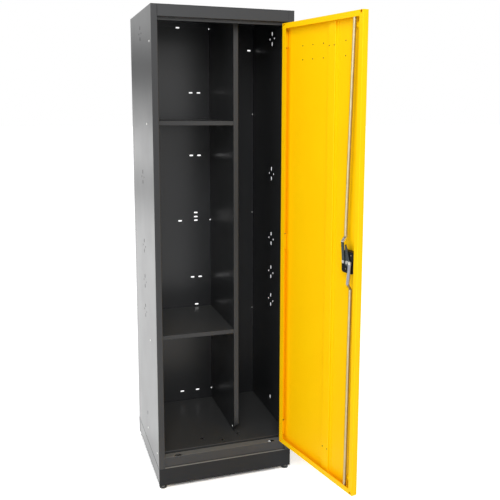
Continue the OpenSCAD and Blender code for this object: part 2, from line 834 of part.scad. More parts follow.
// A lock rod drawn upwards from its pin: a flat link that leans aside, a jog towards the
// door, and the round rod
module lock_rod(length, link_l, aside) {
    step = link_v + link_t / 2 - rod_v;
    difference() {
        union() {
            translate([0, link_v + link_t, 0]) rotate([90, 0, 0]) linear_extrude(link_t) hull() {
                circle(link_w / 2);
                translate([-aside - link_w / 2, link_l - 1]) square([link_w, 1 + eps]);
            }
            translate([-aside, 0, 0]) along_x(-link_w / 2, link_w / 2)
                polygon([[link_v, link_l - 1], [link_v + link_t, link_l - 1],
                         [link_v + link_t, link_l + 2],
                         [link_v + link_t - step, link_l + jog_l + 2],
                         [link_v + link_t - step, link_l + jog_l + 12],
                         [link_v - step, link_l + jog_l + 12],
                         [link_v - step, link_l + jog_l]]);
            translate([-aside, rod_v, link_l + jog_l + 2])
                cylinder(r = rod_r, h = length - link_l - jog_l - 4);
            translate([-aside, rod_v, length - 2 - eps])
                cylinder(r1 = rod_r, r2 = rod_r - 1.5, h = 2);
        }
        translate([0, link_v - 1, 0]) rotate([-90, 0, 0])
            cylinder(r = crank_pin_r + running_fit, h = link_t + 2);
    }
}

// The lean that takes a rod, standing aside from its pin, through the door's end
function rod_lean(from_u, reach, aside) =
    atan2(rod_u - from_u, reach) + asin(aside / norm([rod_u - from_u, reach]));

module rod_upper() {
    reach = door_h - lock_z;
    lean = rod_lean(lock_u - crank_r, reach, rod_upper_aside);
    color("#b9b4a6") in_door() translate([lock_u - crank_r, 0, lock_z]) rotate([0, lean, 0])
        lock_rod(reach - rod_end_gap, link_upper_l, rod_upper_aside);
}

module rod_lower() {
    reach = lock_z;
    lean = rod_lean(lock_u + crank_r, reach, rod_lower_aside);
    color("#b9b4a6") in_door() translate([lock_u + crank_r, 0, lock_z]) rotate([0, -lean, 0])
        mirror([0, 0, 1]) lock_rod(reach - rod_end_gap, link_lower_l, rod_lower_aside);
}

side_left();
side_right();
back_panel();
top_panel();
head_piece();
floor_panel();
bottom_rail();
plinth_front();
plinth_rear();
plinth_left();
plinth_right();
partition();
shelf_upper();
shelf_lower();
foot_plates();
hinge_frame(0);  // hinge_frame_lower
hinge_frame(1);  // hinge_frame_middle
hinge_frame(2);  // hinge_frame_upper
hinge_pin(0);  // hinge_pin_lower
hinge_pin(1);  // hinge_pin_middle
hinge_pin(2);  // hinge_pin_upper
door_panel();
door_stiffener();
hinge_door(0);  // hinge_door_lower
hinge_door(1);  // hinge_door_middle
hinge_door(2);  // hinge_door_upper
rod_guide_upper();
rod_guide_lower();
lock_housing();
lock_plate();
turn_knob();
lock_spindle();
lock_cam();
key_plug();
rod_upper();
rod_lower();
foot_pad(0, 0);  // foot_pad_front_left
foot_pad(1, 0);  // foot_pad_front_right
foot_pad(0, 1);  // foot_pad_rear_left
foot_pad(1, 1);  // foot_pad_rear_right
foot_stud(0, 0);  // foot_stud_front_left
foot_stud(1, 0);  // foot_stud_front_right
foot_stud(0, 1);  // foot_stud_rear_left
foot_stud(1, 1);  // foot_stud_rear_right
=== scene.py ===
"""Finishes for a steel storage cabinet with an open door, and the studio it stands in.

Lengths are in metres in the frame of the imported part: X to the right along the front, Y to
the back, Z up, with the ground at Z = 0 under the front left foot.
"""
import json
import math

import bpy
import numpy as np
from mathutils import Matrix, Vector


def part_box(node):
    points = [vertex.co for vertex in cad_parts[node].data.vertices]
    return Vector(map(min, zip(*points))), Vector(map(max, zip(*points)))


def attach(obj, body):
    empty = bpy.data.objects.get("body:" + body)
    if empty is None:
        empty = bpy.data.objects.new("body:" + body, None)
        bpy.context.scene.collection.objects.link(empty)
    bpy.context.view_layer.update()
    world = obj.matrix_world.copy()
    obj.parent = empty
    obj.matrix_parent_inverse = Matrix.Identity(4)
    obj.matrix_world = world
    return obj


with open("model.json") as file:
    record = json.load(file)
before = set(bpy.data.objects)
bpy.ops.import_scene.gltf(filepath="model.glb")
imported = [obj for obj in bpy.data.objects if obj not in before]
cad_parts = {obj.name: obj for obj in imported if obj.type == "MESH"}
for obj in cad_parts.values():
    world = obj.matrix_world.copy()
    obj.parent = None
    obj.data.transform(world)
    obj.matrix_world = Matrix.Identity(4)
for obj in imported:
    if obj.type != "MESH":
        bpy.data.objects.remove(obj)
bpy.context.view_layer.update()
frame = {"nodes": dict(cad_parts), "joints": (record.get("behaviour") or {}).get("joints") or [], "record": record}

bl_info = {
    "name": "Storage cabinet finishes",
    "version": (1, 0, 0),
    "blender": (4, 5, 0),
    "location": "View3D > Sidebar > Cabinet",
    "description": "Powder coat, zinc, plastic, rivets and a soft studio for a steel cabinet",
    "category": "Object",
}

CORNERS = ("front_left", "front_right", "rear_left", "rear_right")
HINGES = ("lower", "middle", "upper")


# Places taken from the frame

def joint(name):
    """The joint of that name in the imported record."""
    return next(j for j in frame["joints"] if j["name"] == name)


# The body's outer faces
BODY_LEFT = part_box("side_left")[0].x
BODY_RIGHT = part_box("side_right")[1].x
BODY_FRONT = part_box("side_left")[0].y
PLINTH_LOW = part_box("plinth_front")[0].z
PLINTH_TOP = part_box("plinth_front")[1].z

# The open door's own axes: along its width from the hinge edge, and its outward normal
DOOR_OUT = Vector(joint("handle_turn")["axis"]).normalized()
DOOR_ACROSS = Vector((0, 0, 1)).cross(DOOR_OUT).normalized()
if DOOR_ACROSS.y > 0:
    DOOR_ACROSS = -DOOR_ACROSS
DOOR_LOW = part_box("door_panel")[0].z
DOOR_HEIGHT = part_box("door_panel")[1].z - DOOR_LOW
DOOR_THICKNESS = 0.022
# The lock's spindle, and how far it is from the door's hinge edge
LOCK_CENTRE = Vector(joint("handle_turn")["pos_m"])
LOCK_ACROSS = 0.428
# The lock housing's screws from its spindle, and how deep their recesses are
SCREW_ACROSS = 0.014
SCREW_UP = 0.025
SCREW_RECESS = 0.003
# The dimples for hooks: their middle, their pitch across the door, the columns that have one,
# the first row's distance from the door's top, the second row's from the first, and the face
# of the pan from the door's outer face
DIMPLE_MIDDLE = 0.300
DIMPLE_PITCH = 0.064
DIMPLE_COLUMNS = (-3, -2, -1, 1)
DIMPLE_TOP = 0.086
DIMPLE_ROWS = 0.049
PAN_FACE = 0.0011
# The stiffener's holes: their middle, their pitch, their distance from the door's ends, and
# the stiffener's face from the door's outer face
STIFFENER_ACROSS = 0.296
STIFFENER_PITCH = 0.028
STIFFENER_END = 0.097
STIFFENER_FACE = 0.0091

# Rivets of the side panels: distance behind the front and height over the plinth's lower edge
SIDE_RIVETS = ((0.042, 1.661), (0.129, 1.369), (0.143, 0.534), (0.247, 0.128), (0.035, 0.119))
# The rivet at the partition's foot: behind its front edge, and over the floor
FOOT_RIVET = (0.025, 0.015)
# Rivets of the back panel: radius and height, how far in from the body's sides, and over the
# plinth's lower edge
BACK_RIVET = (0.0024, 0.001)
BACK_RIVET_IN = 0.006
BACK_RIVET_HEIGHTS = (1.402, 0.966, 0.524)
# Rivets of a hinge leaf: radius and height, from its right and its rear edge, and up and down
# from its middle
HINGE_RIVET = (0.0026, 0.0008)
HINGE_RIVET_IN = 0.0015
HINGE_RIVET_BACK = 0.006
HINGE_RIVET_UP = 0.018
# Dark caps in the door's dimples and holes, which stand for painted shade: radius and height
SHADE_CAP = (0.0026, 0.0007)
# How far a head reaches into the sheet that it sits on
SEAT = 0.0002
# A glide: how far it stands out round the foot, and its lower and its upper bevel, each in
# from the foot's edge and in height
GLIDE_OUT = 0.0002
GLIDE_LOWER_BEVEL = (0.0012, 0.0008)
GLIDE_UPPER_BEVEL = (0.0006, 0.0006)
# Sides of what is turned: rivets, small rivets and shade caps, screws and glides
RIVET_SIDES = 20
SMALL_SIDES = 16
SCREW_SIDES = 24
GLIDE_SIDES = 40

# The painted shade of the joint between a side panel and the plinth, from the plinth's
# upper edge down. The side panel stands out over it and hides its upper part
JOINT_SHADE_DEPTH = 0.007
# The flat links of the rods, over and under the spindle, and the painted highlight on the
# upper rod's bend, by its middle and half its length
UPPER_LINK = (0.068, 0.064)
LOWER_LINK = (-0.082, -0.076)
UPPER_GLINT = (0.0735, 0.007)
# The outer face of the door to the front face of the cam's caps
CAP_DEPTH = 0.0275
# The pitch of the studs' thread, which is an M10's
THREAD = 0.0015

# The camera: from the body's lower front left corner, its turn in degrees and its shift
CAMERA_PLACE = Vector((-0.4223, -2.5242, 1.4319))
CAMERA_YAW = 19.22
CAMERA_PITCH = 8.6
CAMERA_ROLL = 0.38
CAMERA_SHIFT = (-0.0493, -0.07)
# The lamps: side, place and aim
LEFT_LAMP = (5.0, (-4.6, -1.4, 1.3), (0.5, -0.2, 0.9))
RIGHT_LAMP = (2.6, (1.3, -3.2, 2.1), (0.25, 0.0, 1.0))
HIGH_LAMP = (1.6, (-0.6, -3.2, 3.4), (0.25, 0.25, 0.9))
# The floor's level where the camera sees it. It makes up for the studio's own level, at which
# a white floor is grey
FLOOR_SEEN = 2.0
# The floor's level where a mirror sees it: what it is in front of and behind the first two
# places, what is added to it from one far place to the next, and the dull strip's middle,
# half its width and what it takes away
FLOOR_NEAR = {"From Min": -0.5, "From Max": 0.4, "To Min": 1.2, "To Max": 2.1}
FLOOR_FAR = {"From Min": 1.0, "From Max": 5.0, "To Max": 0.7}
FLOOR_STRIP = (11.0, 6.0, -1.2)
# The dark strip of the sky: the sine of its angle over the horizon at its middle, which is
# 3 degrees up, the same from there to its ends, 3.5 degrees away, and its level
SKY_STRIP = (0.052, 0.06, 0.1)
# Where it sets in, by how far a direction points to the back
SKY_BEHIND = {"From Min": 0.2, "From Max": 0.5}


def on_door(across, inwards, height):
    """A point of the open door: from its hinge edge, in from its outer face and over its
    lower edge."""
    start = LOCK_CENTRE - DOOR_ACROSS * LOCK_ACROSS
    point = start + DOOR_ACROSS * across - DOOR_OUT * inwards
    return Vector((point.x, point.y, DOOR_LOW + height))


# Surfaces worked out with numpy

def ring_faces(rings, sides):
    """Quads between the rings of a turned surface, each ring with that many points."""
    ring, point = np.mgrid[0:rings - 1, 0:sides]
    after = (point + 1) % sides
    low, high = ring * sides, (ring + 1) * sides
    return np.stack([low + point, low + after, high + after, high + point], -1).reshape(-1, 4)


def revolved(profile, place, axis, sides):
    """A profile of (radius, height) pairs turned about an axis through a place. A point is
    place + height * axis + radius * (cos t * e1 + sin t * e2). The profile starts and ends
    on the axis, and each end closes in one point. Gives the points, and the faces in blocks of
    quads and triangles."""
    profile = np.array(profile, float)
    z = np.array(Vector(axis).normalized())
    e1 = np.array(Vector(axis).orthogonal().normalized())
    e2 = np.cross(z, e1)
    t = np.linspace(0, 2 * np.pi, sides, endpoint=False)
    ring = np.cos(t)[:, None] * e1 + np.sin(t)[:, None] * e2
    body = profile[1:-1]
    points = (np.array(place) + body[:, 1][:, None, None] * z
              + body[:, 0][:, None, None] * ring[None]).reshape(-1, 3)
    ends = np.array(place) + profile[[0, -1], 1][:, None] * z
    first, last = len(points), len(points) + 1
    around = np.arange(sides)
    after = (around + 1) % sides
    top = (len(body) - 1) * sides
    blocks = [ring_faces(len(body), sides),
              np.stack([after, around, np.full(sides, first)], -1),
              np.stack([top + around, top + after, np.full(sides, last)], -1)]
    return np.vstack([points, ends]), blocks


def piece(name, surfaces, material, body):
    """One mesh from several closed surfaces, riding on a body."""
    points, faces, start = [], [], 0
    for own_points, blocks in surfaces:
        points.append(own_points)
        for block in blocks:
            faces += (block + start).tolist()
        start += len(own_points)
    mesh = bpy.data.meshes.new(name)
    mesh.from_pydata(np.vstack(points).tolist(), [], faces)
    mesh.validate()
    mesh.shade_smooth()
    mesh.set_sharp_from_angle(angle=math.radians(35))
    mesh.materials.append(material)
    made = bpy.data.objects.new(name, mesh)
    bpy.context.scene.collection.objects.link(made)
    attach(made, body)
    return made


def rivet_profile(radius, height):
    """A domed rivet head from its seat to its crown. A point of the dome, a quarter of an
    ellipse, is (radius * cos t, height * sin t)."""
    t = np.linspace(0, np.pi / 2, 6)[:-1]
    dome = np.stack([radius * np.cos(t), height * np.sin(t)], -1)
    return np.vstack([[(0, -SEAT), (radius, -SEAT)], dome, [(0, height)]])


# Materials

def linear(code):
    """A colour written as sRGB hex, as linear values with alpha 1."""
    parts = [int(code[i:i + 2], 16) / 255 for i in (1, 3, 5)]
    parts = [c / 12.92 if c <= 0.04045 else ((c + 0.055) / 1.055) ** 2.4 for c in parts]
    return (*parts, 1.0)


def add_node(tree, kind, settings=(), links=()):
    """Adds a node, sets its properties and socket values, and links sockets to others."""
    made = tree.nodes.new(kind)
    for key, value in dict(settings).items():
        if isinstance(key, str) and hasattr(made, key):
            setattr(made, key, value)
        else:
            made.inputs[key].default_value = value
    for key, source in dict(links).items():
        tree.links.new(source, made.inputs[key])
    return made


def new_material(name):
    """An empty node material and its tree."""
    material = bpy.data.materials.new(name)
    material.use_nodes = True
    material.node_tree.nodes.clear()
    return material, material.node_tree


def powder_coat(name, colour, shade, roughness, specular, ripple, painted_top_light=0.0, joint_shade_from=0.0):
    """Polyester powder coat on steel, sprayed and baked: an even colour with a faint ripple,
    which breaks up what it mirrors, and slow changes in tone and gloss. Faces that point up
    are paler by the share of painted light from above, and what lies above the height where
    the painted shade of the joint starts is near black."""
    material, tree = new_material(name)
    where = add_node(tree, "ShaderNodeTexCoord")
    # The baked coat's ripple is about 2 mm wide, drawn at 6 mm so that it shows
    fine = add_node(tree, "ShaderNodeTexNoise", {"Scale": 160.0, "Detail": 2.0},
                    {"Vector": where.outputs["Object"]})
    # Slow changes over about 15 cm, from handling and from the spray's strokes
    slow = add_node(tree, "ShaderNodeTexNoise", {"Scale": 6.0, "Detail": 3.0},
                    {"Vector": where.outputs["Object"]})
    tone = add_node(tree, "ShaderNodeMix", {"data_type": "RGBA"}, {0: slow.outputs["Fac"]})
    tone.inputs[6].default_value = shade
    tone.inputs[7].default_value = colour
    # Painted light from above: faces that point up are mixed towards a pale grey, as if lit
    if painted_top_light:
        upward = add_node(tree, "ShaderNodeSeparateXYZ", {}, {0: where.outputs["Normal"]})
        share = add_node(tree, "ShaderNodeMapRange", {"From Min": 0.5, "To Max": painted_top_light},
                         {"Value": upward.outputs["Z"]})
        tone = add_node(tree, "ShaderNodeMix", {"data_type": "RGBA"},
                        {0: share.outputs[0], 6: tone.outputs[2]})
        tone.inputs[7].default_value = linear("#b8b8b4")
    if joint_shade_from:
        # Painted shade of the joint, dark in the coat itself too, for viewers that read only the coat
        height = add_node(tree, "ShaderNodeSeparateXYZ", {}, {0: where.outputs["Object"]})
        share = add_node(tree, "ShaderNodeMapRange",
                         {"From Min": joint_shade_from, "From Max": joint_shade_from + 0.0005},
                         {"Value": height.outputs["Z"]})
        tone = add_node(tree, "ShaderNodeMix", {"data_type": "RGBA"},
                        {0: share.outputs[0], 6: tone.outputs[2]})
        tone.inputs[7].default_value = linear("#000000")
    gloss = add_node(tree, "ShaderNodeMapRange",
                     {"To Min": roughness - 0.04, "To Max": roughness + 0.04},
                     {"Value": slow.outputs["Fac"]})
    bump = add_node(tree, "ShaderNodeBump", {"Strength": ripple, "Distance": 0.0002},
                    {"Height": fine.outputs["Fac"]})
    coat = add_node(tree, "ShaderNodeBsdfPrincipled",
                    {"IOR": 1.5, "Specular IOR Level": specular},
                    {"Base Color": tone.outputs[2], "Roughness": gloss.outputs[0],
                     "Normal": bump.outputs[0]})
    if joint_shade_from:
        # Painted shade of the joint, which is a gap, so it mirrors nothing
        joint_shade = add_node(tree, "ShaderNodeBsdfDiffuse", {"Color": linear("#050505")})
        coat = add_node(tree, "ShaderNodeMixShader", {},
                        {0: share.outputs[0], 1: coat.outputs[0], 2: joint_shade.outputs[0]})
    add_node(tree, "ShaderNodeOutputMaterial", {}, {"Surface": coat.outputs[0]})
    return material


def plated_steel(name, colour, shade, roughness, thread=0.0, link=None, link_tone=None, cap=0.0,
                 painted_glint=None):
    """Zinc plated steel, passivated: a greyish metal with faint yellow and grey clouds. With
    a thread it also has the level grooves of a screw at that pitch in metres. A link has a
    tone of its own, which sets in between two heights from the lock's spindle. A bend, given
    by its middle from the spindle and half its length, gets a near white painted highlight.
    A cap is what stands further into the cabinet than that distance from the door's outer
    face, and is bright."""
    material, tree = new_material(name)
    where = add_node(tree, "ShaderNodeTexCoord")
    # Clouds of the passivation, about 2 cm across
    clouds = add_node(tree, "ShaderNodeTexNoise", {"Scale": 45.0, "Detail": 3.0},
                      {"Vector": where.outputs["Object"]})
    tone = add_node(tree, "ShaderNodeMix", {"data_type": "RGBA"}, {0: clouds.outputs["Fac"]})
    tone.inputs[6].default_value = shade
    tone.inputs[7].default_value = colour
    gloss = add_node(tree, "ShaderNodeMapRange",
                     {"To Min": roughness - 0.06, "To Max": roughness + 0.06},
                     {"Value": clouds.outputs["Fac"]})
    if link:
        start, end = LOCK_CENTRE.z + link[0], LOCK_CENTRE.z + link[1]
        height = add_node(tree, "ShaderNodeSeparateXYZ", {}, {0: where.outputs["Object"]})
        share = add_node(tree, "ShaderNodeMapRange", {"From Min": start, "From Max": end},
                         {"Value": height.outputs["Z"]})
        tone = add_node(tree, "ShaderNodeMix", {"data_type": "RGBA"},
                        {0: share.outputs[0], 6: tone.outputs[2]})
        tone.inputs[7].default_value = link_tone
    if cap:
        depth = add_node(tree, "ShaderNodeVectorMath",
                         {"operation": "DOT_PRODUCT", 1: -DOOR_OUT},
                         {0: where.outputs["Object"]})
        face = -DOOR_OUT.dot(LOCK_CENTRE)
        share = add_node(tree, "ShaderNodeMapRange",
                         {"From Min": face + cap, "From Max": face + cap + 0.001},
                         {"Value": depth.outputs["Value"]})
        tone = add_node(tree, "ShaderNodeMix", {"data_type": "RGBA"},
                        {0: share.outputs[0], 6: tone.outputs[2]})
        tone.inputs[7].default_value = linear("#f0eee8")
    # Painted glint: the bend is made near white as a painted highlight
    if painted_glint:
        height = add_node(tree, "ShaderNodeSeparateXYZ", {}, {0: where.outputs["Object"]})
        share = add_node(tree, "ShaderNodeMath",
                         {"operation": "COMPARE", 1: LOCK_CENTRE.z + painted_glint[0], 2: painted_glint[1]},
                         {0: height.outputs["Z"]})
        tone = add_node(tree, "ShaderNodeMix", {"data_type": "RGBA"},
                        {0: share.outputs[0], 6: tone.outputs[2]})
        tone.inputs[7].default_value = linear("#fffdf8")
    metal = add_node(tree, "ShaderNodeBsdfPrincipled", {"Metallic": 1.0},
                     {"Base Color": tone.outputs[2], "Roughness": gloss.outputs[0]})
    if thread:
        # One band of the wave texture is a twentieth of a full turn divided by its scale
        grooves = add_node(tree, "ShaderNodeTexWave",
                           {"bands_direction": "Z", "Scale": 2 * math.pi / 20 / thread},
                           {"Vector": where.outputs["Object"]})
        bump = add_node(tree, "ShaderNodeBump", {"Strength": 1.0, "Distance": 0.0004},
                        {"Height": grooves.outputs["Fac"]})
        tree.links.new(bump.outputs[0], metal.inputs["Normal"])
    add_node(tree, "ShaderNodeOutputMaterial", {}, {"Surface": metal.outputs[0]})
    return material


def moulded_plastic(name, colour, roughness, specular=0.5):
    """Moulded nylon or ABS with a fine spark-eroded grain that scatters what it mirrors."""
    material, tree = new_material(name)
    where = add_node(tree, "ShaderNodeTexCoord")
    # The mould's grain is about 0.3 mm, drawn at 1 mm so that it shows
    grain = add_node(tree, "ShaderNodeTexNoise", {"Scale": 900.0, "Detail": 1.0},
                     {"Vector": where.outputs["Object"]})
    bump = add_node(tree, "ShaderNodeBump", {"Strength": 0.25, "Distance": 0.0002},
                    {"Height": grain.outputs["Fac"]})
    plastic = add_node(tree, "ShaderNodeBsdfPrincipled",
                       {"Base Color": colour, "Roughness": roughness, "IOR": 1.5,
                        "Specular IOR Level": specular},
                       {"Normal": bump.outputs[0]})
    add_node(tree, "ShaderNodeOutputMaterial", {}, {"Surface": plastic.outputs[0]})
    return material


def polished_metal(name, colour, roughness):
    """Nickel plated brass, polished: a bright mirror, duller in small patches where the key
    and fingers rub it."""
    material, tree = new_material(name)
    where = add_node(tree, "ShaderNodeTexCoord")
    # The rubbed patches are about 3 mm across
    rubbed = add_node(tree, "ShaderNodeTexNoise", {"Scale": 300.0, "Detail": 2.0},
                      {"Vector": where.outputs["Object"]})
    gloss = add_node(tree, "ShaderNodeMapRange",
                     {"To Min": roughness - 0.06, "To Max": roughness + 0.1},
                     {"Value": rubbed.outputs["Fac"]})
    metal = add_node(tree, "ShaderNodeBsdfPrincipled",
                     {"Base Color": colour, "Metallic": 1.0},
                     {"Roughness": gloss.outputs[0]})
    add_node(tree, "ShaderNodeOutputMaterial", {}, {"Surface": metal.outputs[0]})
    return material


def finish(name):
    """The material of that name, which the finishes operator made."""
    found = bpy.data.materials.get(name)
    if found is None:
        raise RuntimeError(f"the material {name} is missing: run the finishes first")
    return found


# Settings

def colour_setting(name, words, code):
    """A colour that a user can change, with its default in sRGB hex."""
    return bpy.props.FloatVectorProperty(name=name, description=words, default=linear(code),
                                         size=4, min=0, max=1, subtype="COLOR")


class CabinetFinishes(bpy.types.PropertyGroup):
    body_colour: colour_setting("Body", "Powder coat of the body", "#27282a")
    body_shade: colour_setting("Body shade", "Darker tone of the body's coat", "#212224")
    door_colour: colour_setting("Door", "Powder coat of the door", "#ffcc00")
    door_shade: colour_setting("Door shade", "Darker tone of the door's coat", "#ffc400")
    body_roughness: bpy.props.FloatProperty(
        name="Body roughness", description="Roughness of the body's coat", default=0.3,
        min=0, max=1, subtype="FACTOR")
    door_roughness: bpy.props.FloatProperty(
        name="Door roughness", description="Roughness of the door's coat", default=0.45,
        min=0, max=1, subtype="FACTOR")


class CabinetSmallParts(bpy.types.PropertyGroup):
    rivet_radius: bpy.props.FloatProperty(
        name="Rivet radius", description="Radius of the rivet heads", default=0.0038,
        unit="LENGTH")
    rivet_height: bpy.props.FloatProperty(
        name="Rivet height", description="Height of the rivet heads", default=0.0016,
        unit="LENGTH")
    glide_height: bpy.props.FloatProperty(
        name="Glide height", description="Height of the pale glide under a foot", default=0.0034,
        unit="LENGTH")


class CabinetStudio(bpy.types.PropertyGroup):
    floor_size: bpy.props.FloatProperty(
        name="Floor size", description="Side of the pale floor", default=100.0, unit="LENGTH")
    sky: bpy.props.FloatProperty(
        name="Sky", description="Strength of the soft light from all round", default=0.62)
    left_light: bpy.props.FloatProperty(
        name="Left light", description="Power of the lamp that lights the door's inside",
        default=118.0, unit="POWER")
    right_light: bpy.props.FloatProperty(
        name="Right light", description="Power of the weak lamp in front on the right",
        default=12.0, unit="POWER")
    high_light: bpy.props.FloatProperty(
        name="High light", description="Power of the lamp high up in front on the left",
        default=78.0, unit="POWER")
    lens: bpy.props.FloatProperty(
        name="Lens", description="Focal length of the camera in millimetres", default=51.13,
        unit="CAMERA")


# Pieces

class CABINET_OT_finishes(bpy.types.Operator):
    """Gives every node of the frame its finish"""
    bl_idname = "cabinet.finishes"
    bl_label = "Finishes"

    def execute(self, context):
        look = context.scene.cabinet_finishes
        finishes = {
            "body_paint": powder_coat(
                "powder_coat_black_grey", look.body_colour, look.body_shade, look.body_roughness,
                specular=0.5, ripple=0.15, painted_top_light=0.07),
            "rail_paint": powder_coat(
                "powder_coat_rail", look.body_colour, look.body_shade, look.body_roughness,
                specular=0.5, ripple=0.15, painted_top_light=0.3),
            "plinth_paint": powder_coat(
                "powder_coat_plinth", look.body_shade, look.body_shade, 0.45,
                specular=0.2, ripple=0.15, painted_top_light=0.5),
            "plinth_side_paint": powder_coat(
                "powder_coat_plinth_side", look.body_colour, look.body_shade,
                look.body_roughness, specular=0.5, ripple=0.15, painted_top_light=0.07,
                joint_shade_from=PLINTH_TOP - JOINT_SHADE_DEPTH),
            "door_paint": powder_coat(
                "powder_coat_yellow", look.door_colour, look.door_shade, look.door_roughness,
                specular=0.12, ripple=0.15),
            "zinc": plated_steel(
                "zinc_plated_steel", linear("#b5aa93"), linear("#978b72"), 0.42),
            "stud": plated_steel(
                "threaded_steel", linear("#b9b7b0"), linear("#8f8d86"), 0.35, thread=THREAD),
            "lock": plated_steel(
                "dark_lock_steel", linear("#646b6d"), linear("#484e50"), 0.38, cap=CAP_DEPTH),
            "upper_rod": plated_steel(
                "upper_rod_steel", linear("#ccc09c"), linear("#aca078"), 0.42,
                link=UPPER_LINK, link_tone=linear("#5c6362"), painted_glint=UPPER_GLINT),
            "lower_rod": plated_steel(
                "lower_rod_steel", linear("#ccc09c"), linear("#aca078"), 0.42,
                link=LOWER_LINK, link_tone=linear("#b4b7c0")),
            "bolt": plated_steel(
                "bright_bolt_steel", linear("#e6e4de"), linear("#d2d0ca"), 0.3),
            "hinge_steel": powder_coat(
                "blackened_hinge_steel", linear("#2a2b2d"), linear("#222325"), 0.4,
                specular=0.5, ripple=0.05),
            "black_plastic": moulded_plastic(
                "black_nylon", linear("#0b0c0d"), 0.45, specular=0.2),
            "polished_metal": polished_metal("polished_nickel", linear("#d6d4cf"), 0.12),
            "foot_plastic": moulded_plastic("grey_foot_plastic", linear("#3e3f41"), 0.4),
        }
        moulded_plastic("pale_glide_plastic", linear("#b9b9b5"), 0.45)
        # The rivets are real; their white is a painted highlight of their domed heads
        moulded_plastic("rivet_white_painted_highlight", linear("#f4f4f0"), 0.35)
        slots = {s["node"]: s["material_slot"] for s in frame["record"]["subparts"]}
        # The cam is darker than the rods, its spindle is bright, the studs are threaded, the
        # ledges of rail and plinth get the most painted light from above, the plinth's sides carry
        # the painted shade of their joint, and the plinth's boards in front and behind are duller
        # than the rest of the body
        own = {"lock_cam": "lock", "lock_spindle": "bolt", "bottom_rail": "rail_paint",
               "rod_upper": "upper_rod", "rod_lower": "lower_rod"}
        own.update({"foot_stud_" + corner: "stud" for corner in CORNERS})
        own.update({"plinth_" + side: "plinth_paint" for side in ("front", "rear")})
        own.update({"plinth_" + side: "plinth_side_paint" for side in ("left", "right")})
        for name, node in frame["nodes"].items():
            node.data.materials.clear()
            node.data.materials.append(finishes[own.get(name, slots[name])])
        return {"FINISHED"}


class CABINET_OT_body_rivets(bpy.types.Operator):
    """Adds the domed rivets of the side panels, the back panel and the partition, whose white heads are a painted
    highlight
    """
    bl_idname = "cabinet.body_rivets"
    bl_label = "Body rivets"

    def execute(self, context):
        small = context.scene.cabinet_small_parts
        head = rivet_profile(small.rivet_radius, small.rivet_height)
        surfaces = []
        for x, way in ((BODY_LEFT, -1), (BODY_RIGHT, 1)):
            for back, up in SIDE_RIVETS:
                seat = (x, BODY_FRONT + back, PLINTH_LOW + up)
                surfaces.append(revolved(head, seat, (way, 0, 0), RIVET_SIDES))
        # One more at the foot of the partition, on its left face
        web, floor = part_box("partition")[0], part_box("floor_panel")[1].z
        seat = (web.x, web.y + FOOT_RIVET[0], floor + FOOT_RIVET[1])
        surfaces.append(revolved(head, seat, (-1, 0, 0), RIVET_SIDES))
        # Three on each side join the back panel to the flanges of the side panels
        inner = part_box("back_panel")[0].y
        head = rivet_profile(*BACK_RIVET)
        for x in (BODY_LEFT + BACK_RIVET_IN, BODY_RIGHT - BACK_RIVET_IN):
            for up in BACK_RIVET_HEIGHTS:
                seat = (x, inner, PLINTH_LOW + up)
                surfaces.append(revolved(head, seat, (0, -1, 0), SMALL_SIDES))
        piece("body_rivets", surfaces, finish("rivet_white_painted_highlight"), "cabinet")
        return {"FINISHED"}


class CABINET_OT_hinge_rivets(bpy.types.Operator):
    """Adds the rivets that hold the hinge leaves to the right post"""
    bl_idname = "cabinet.hinge_rivets"
    bl_label = "Hinge rivets"

    def execute(self, context):
        surfaces = []
        head = rivet_profile(*HINGE_RIVET)
        for name in HINGES:
            low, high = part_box("hinge_frame_" + name)
            middle = (low.z + high.z) / 2
            for rise in (-HINGE_RIVET_UP, HINGE_RIVET_UP):
                seat = (high.x - HINGE_RIVET_IN, high.y - HINGE_RIVET_BACK, middle + rise)
                surfaces.append(revolved(head, seat, (-1, 0, 0), SMALL_SIDES))
        piece("hinge_rivets", surfaces, finish("blackened_hinge_steel"), "cabinet")
        return {"FINISHED"}


class CABINET_OT_lock_fixings(bpy.types.Operator):
    """Adds the two countersunk screws in the recesses of the lock housing"""
    bl_idname = "cabinet.lock_fixings"
    bl_label = "Lock fixings"

    def execute(self, context):
        surfaces = []
        # The head is a shallow dish with a cone in its middle for the screwdriver
        head = [(0, -0.0004), (0.0028, -0.0004), (0.0028, 0.0008), (0.0024, 0.0011),
                (0.0011, 0.0011), (0.0009, 0.0006), (0, 0.0002)]
        for side in (-1, 1):
            seat = on_door(LOCK_ACROSS + side * SCREW_ACROSS, DOOR_THICKNESS - SCREW_RECESS,
                           DOOR_HEIGHT / 2 + side * SCREW_UP)
            surfaces.append(revolved(head, seat, -DOOR_OUT, SCREW_SIDES))
        piece("housing_screws", surfaces, finish("zinc_plated_steel"), "door")
        return {"FINISHED"}


class CABINET_OT_dimple_shade_caps(bpy.types.Operator):
    """Adds the small dark caps in the dimples for hooks and in the stiffener's holes, as painted shade in them"""
    bl_idname = "cabinet.hook_plugs"
    bl_label = "Dimple shade caps"

    def execute(self, context):
        surfaces = []
        head = rivet_profile(*SHADE_CAP)
        for row in (0, 1):
            for column in DIMPLE_COLUMNS:
                seat = on_door(DIMPLE_MIDDLE + column * DIMPLE_PITCH, PAN_FACE,
                               DOOR_HEIGHT - DIMPLE_TOP - row * DIMPLE_ROWS)
                surfaces.append(revolved(head, seat, -DOOR_OUT, SMALL_SIDES))
        for side in (-1, 1):
            across = STIFFENER_ACROSS + side * STIFFENER_PITCH / 2
            for height in (STIFFENER_END, DOOR_HEIGHT - STIFFENER_END):
                seat = on_door(across, STIFFENER_FACE, height)
                surfaces.append(revolved(head, seat, -DOOR_OUT, SMALL_SIDES))
        # Painted shade: the black of these caps stands for the shade in the dimples and holes
        piece("hook_plugs", surfaces, finish("black_nylon"), "door")
        return {"FINISHED"}


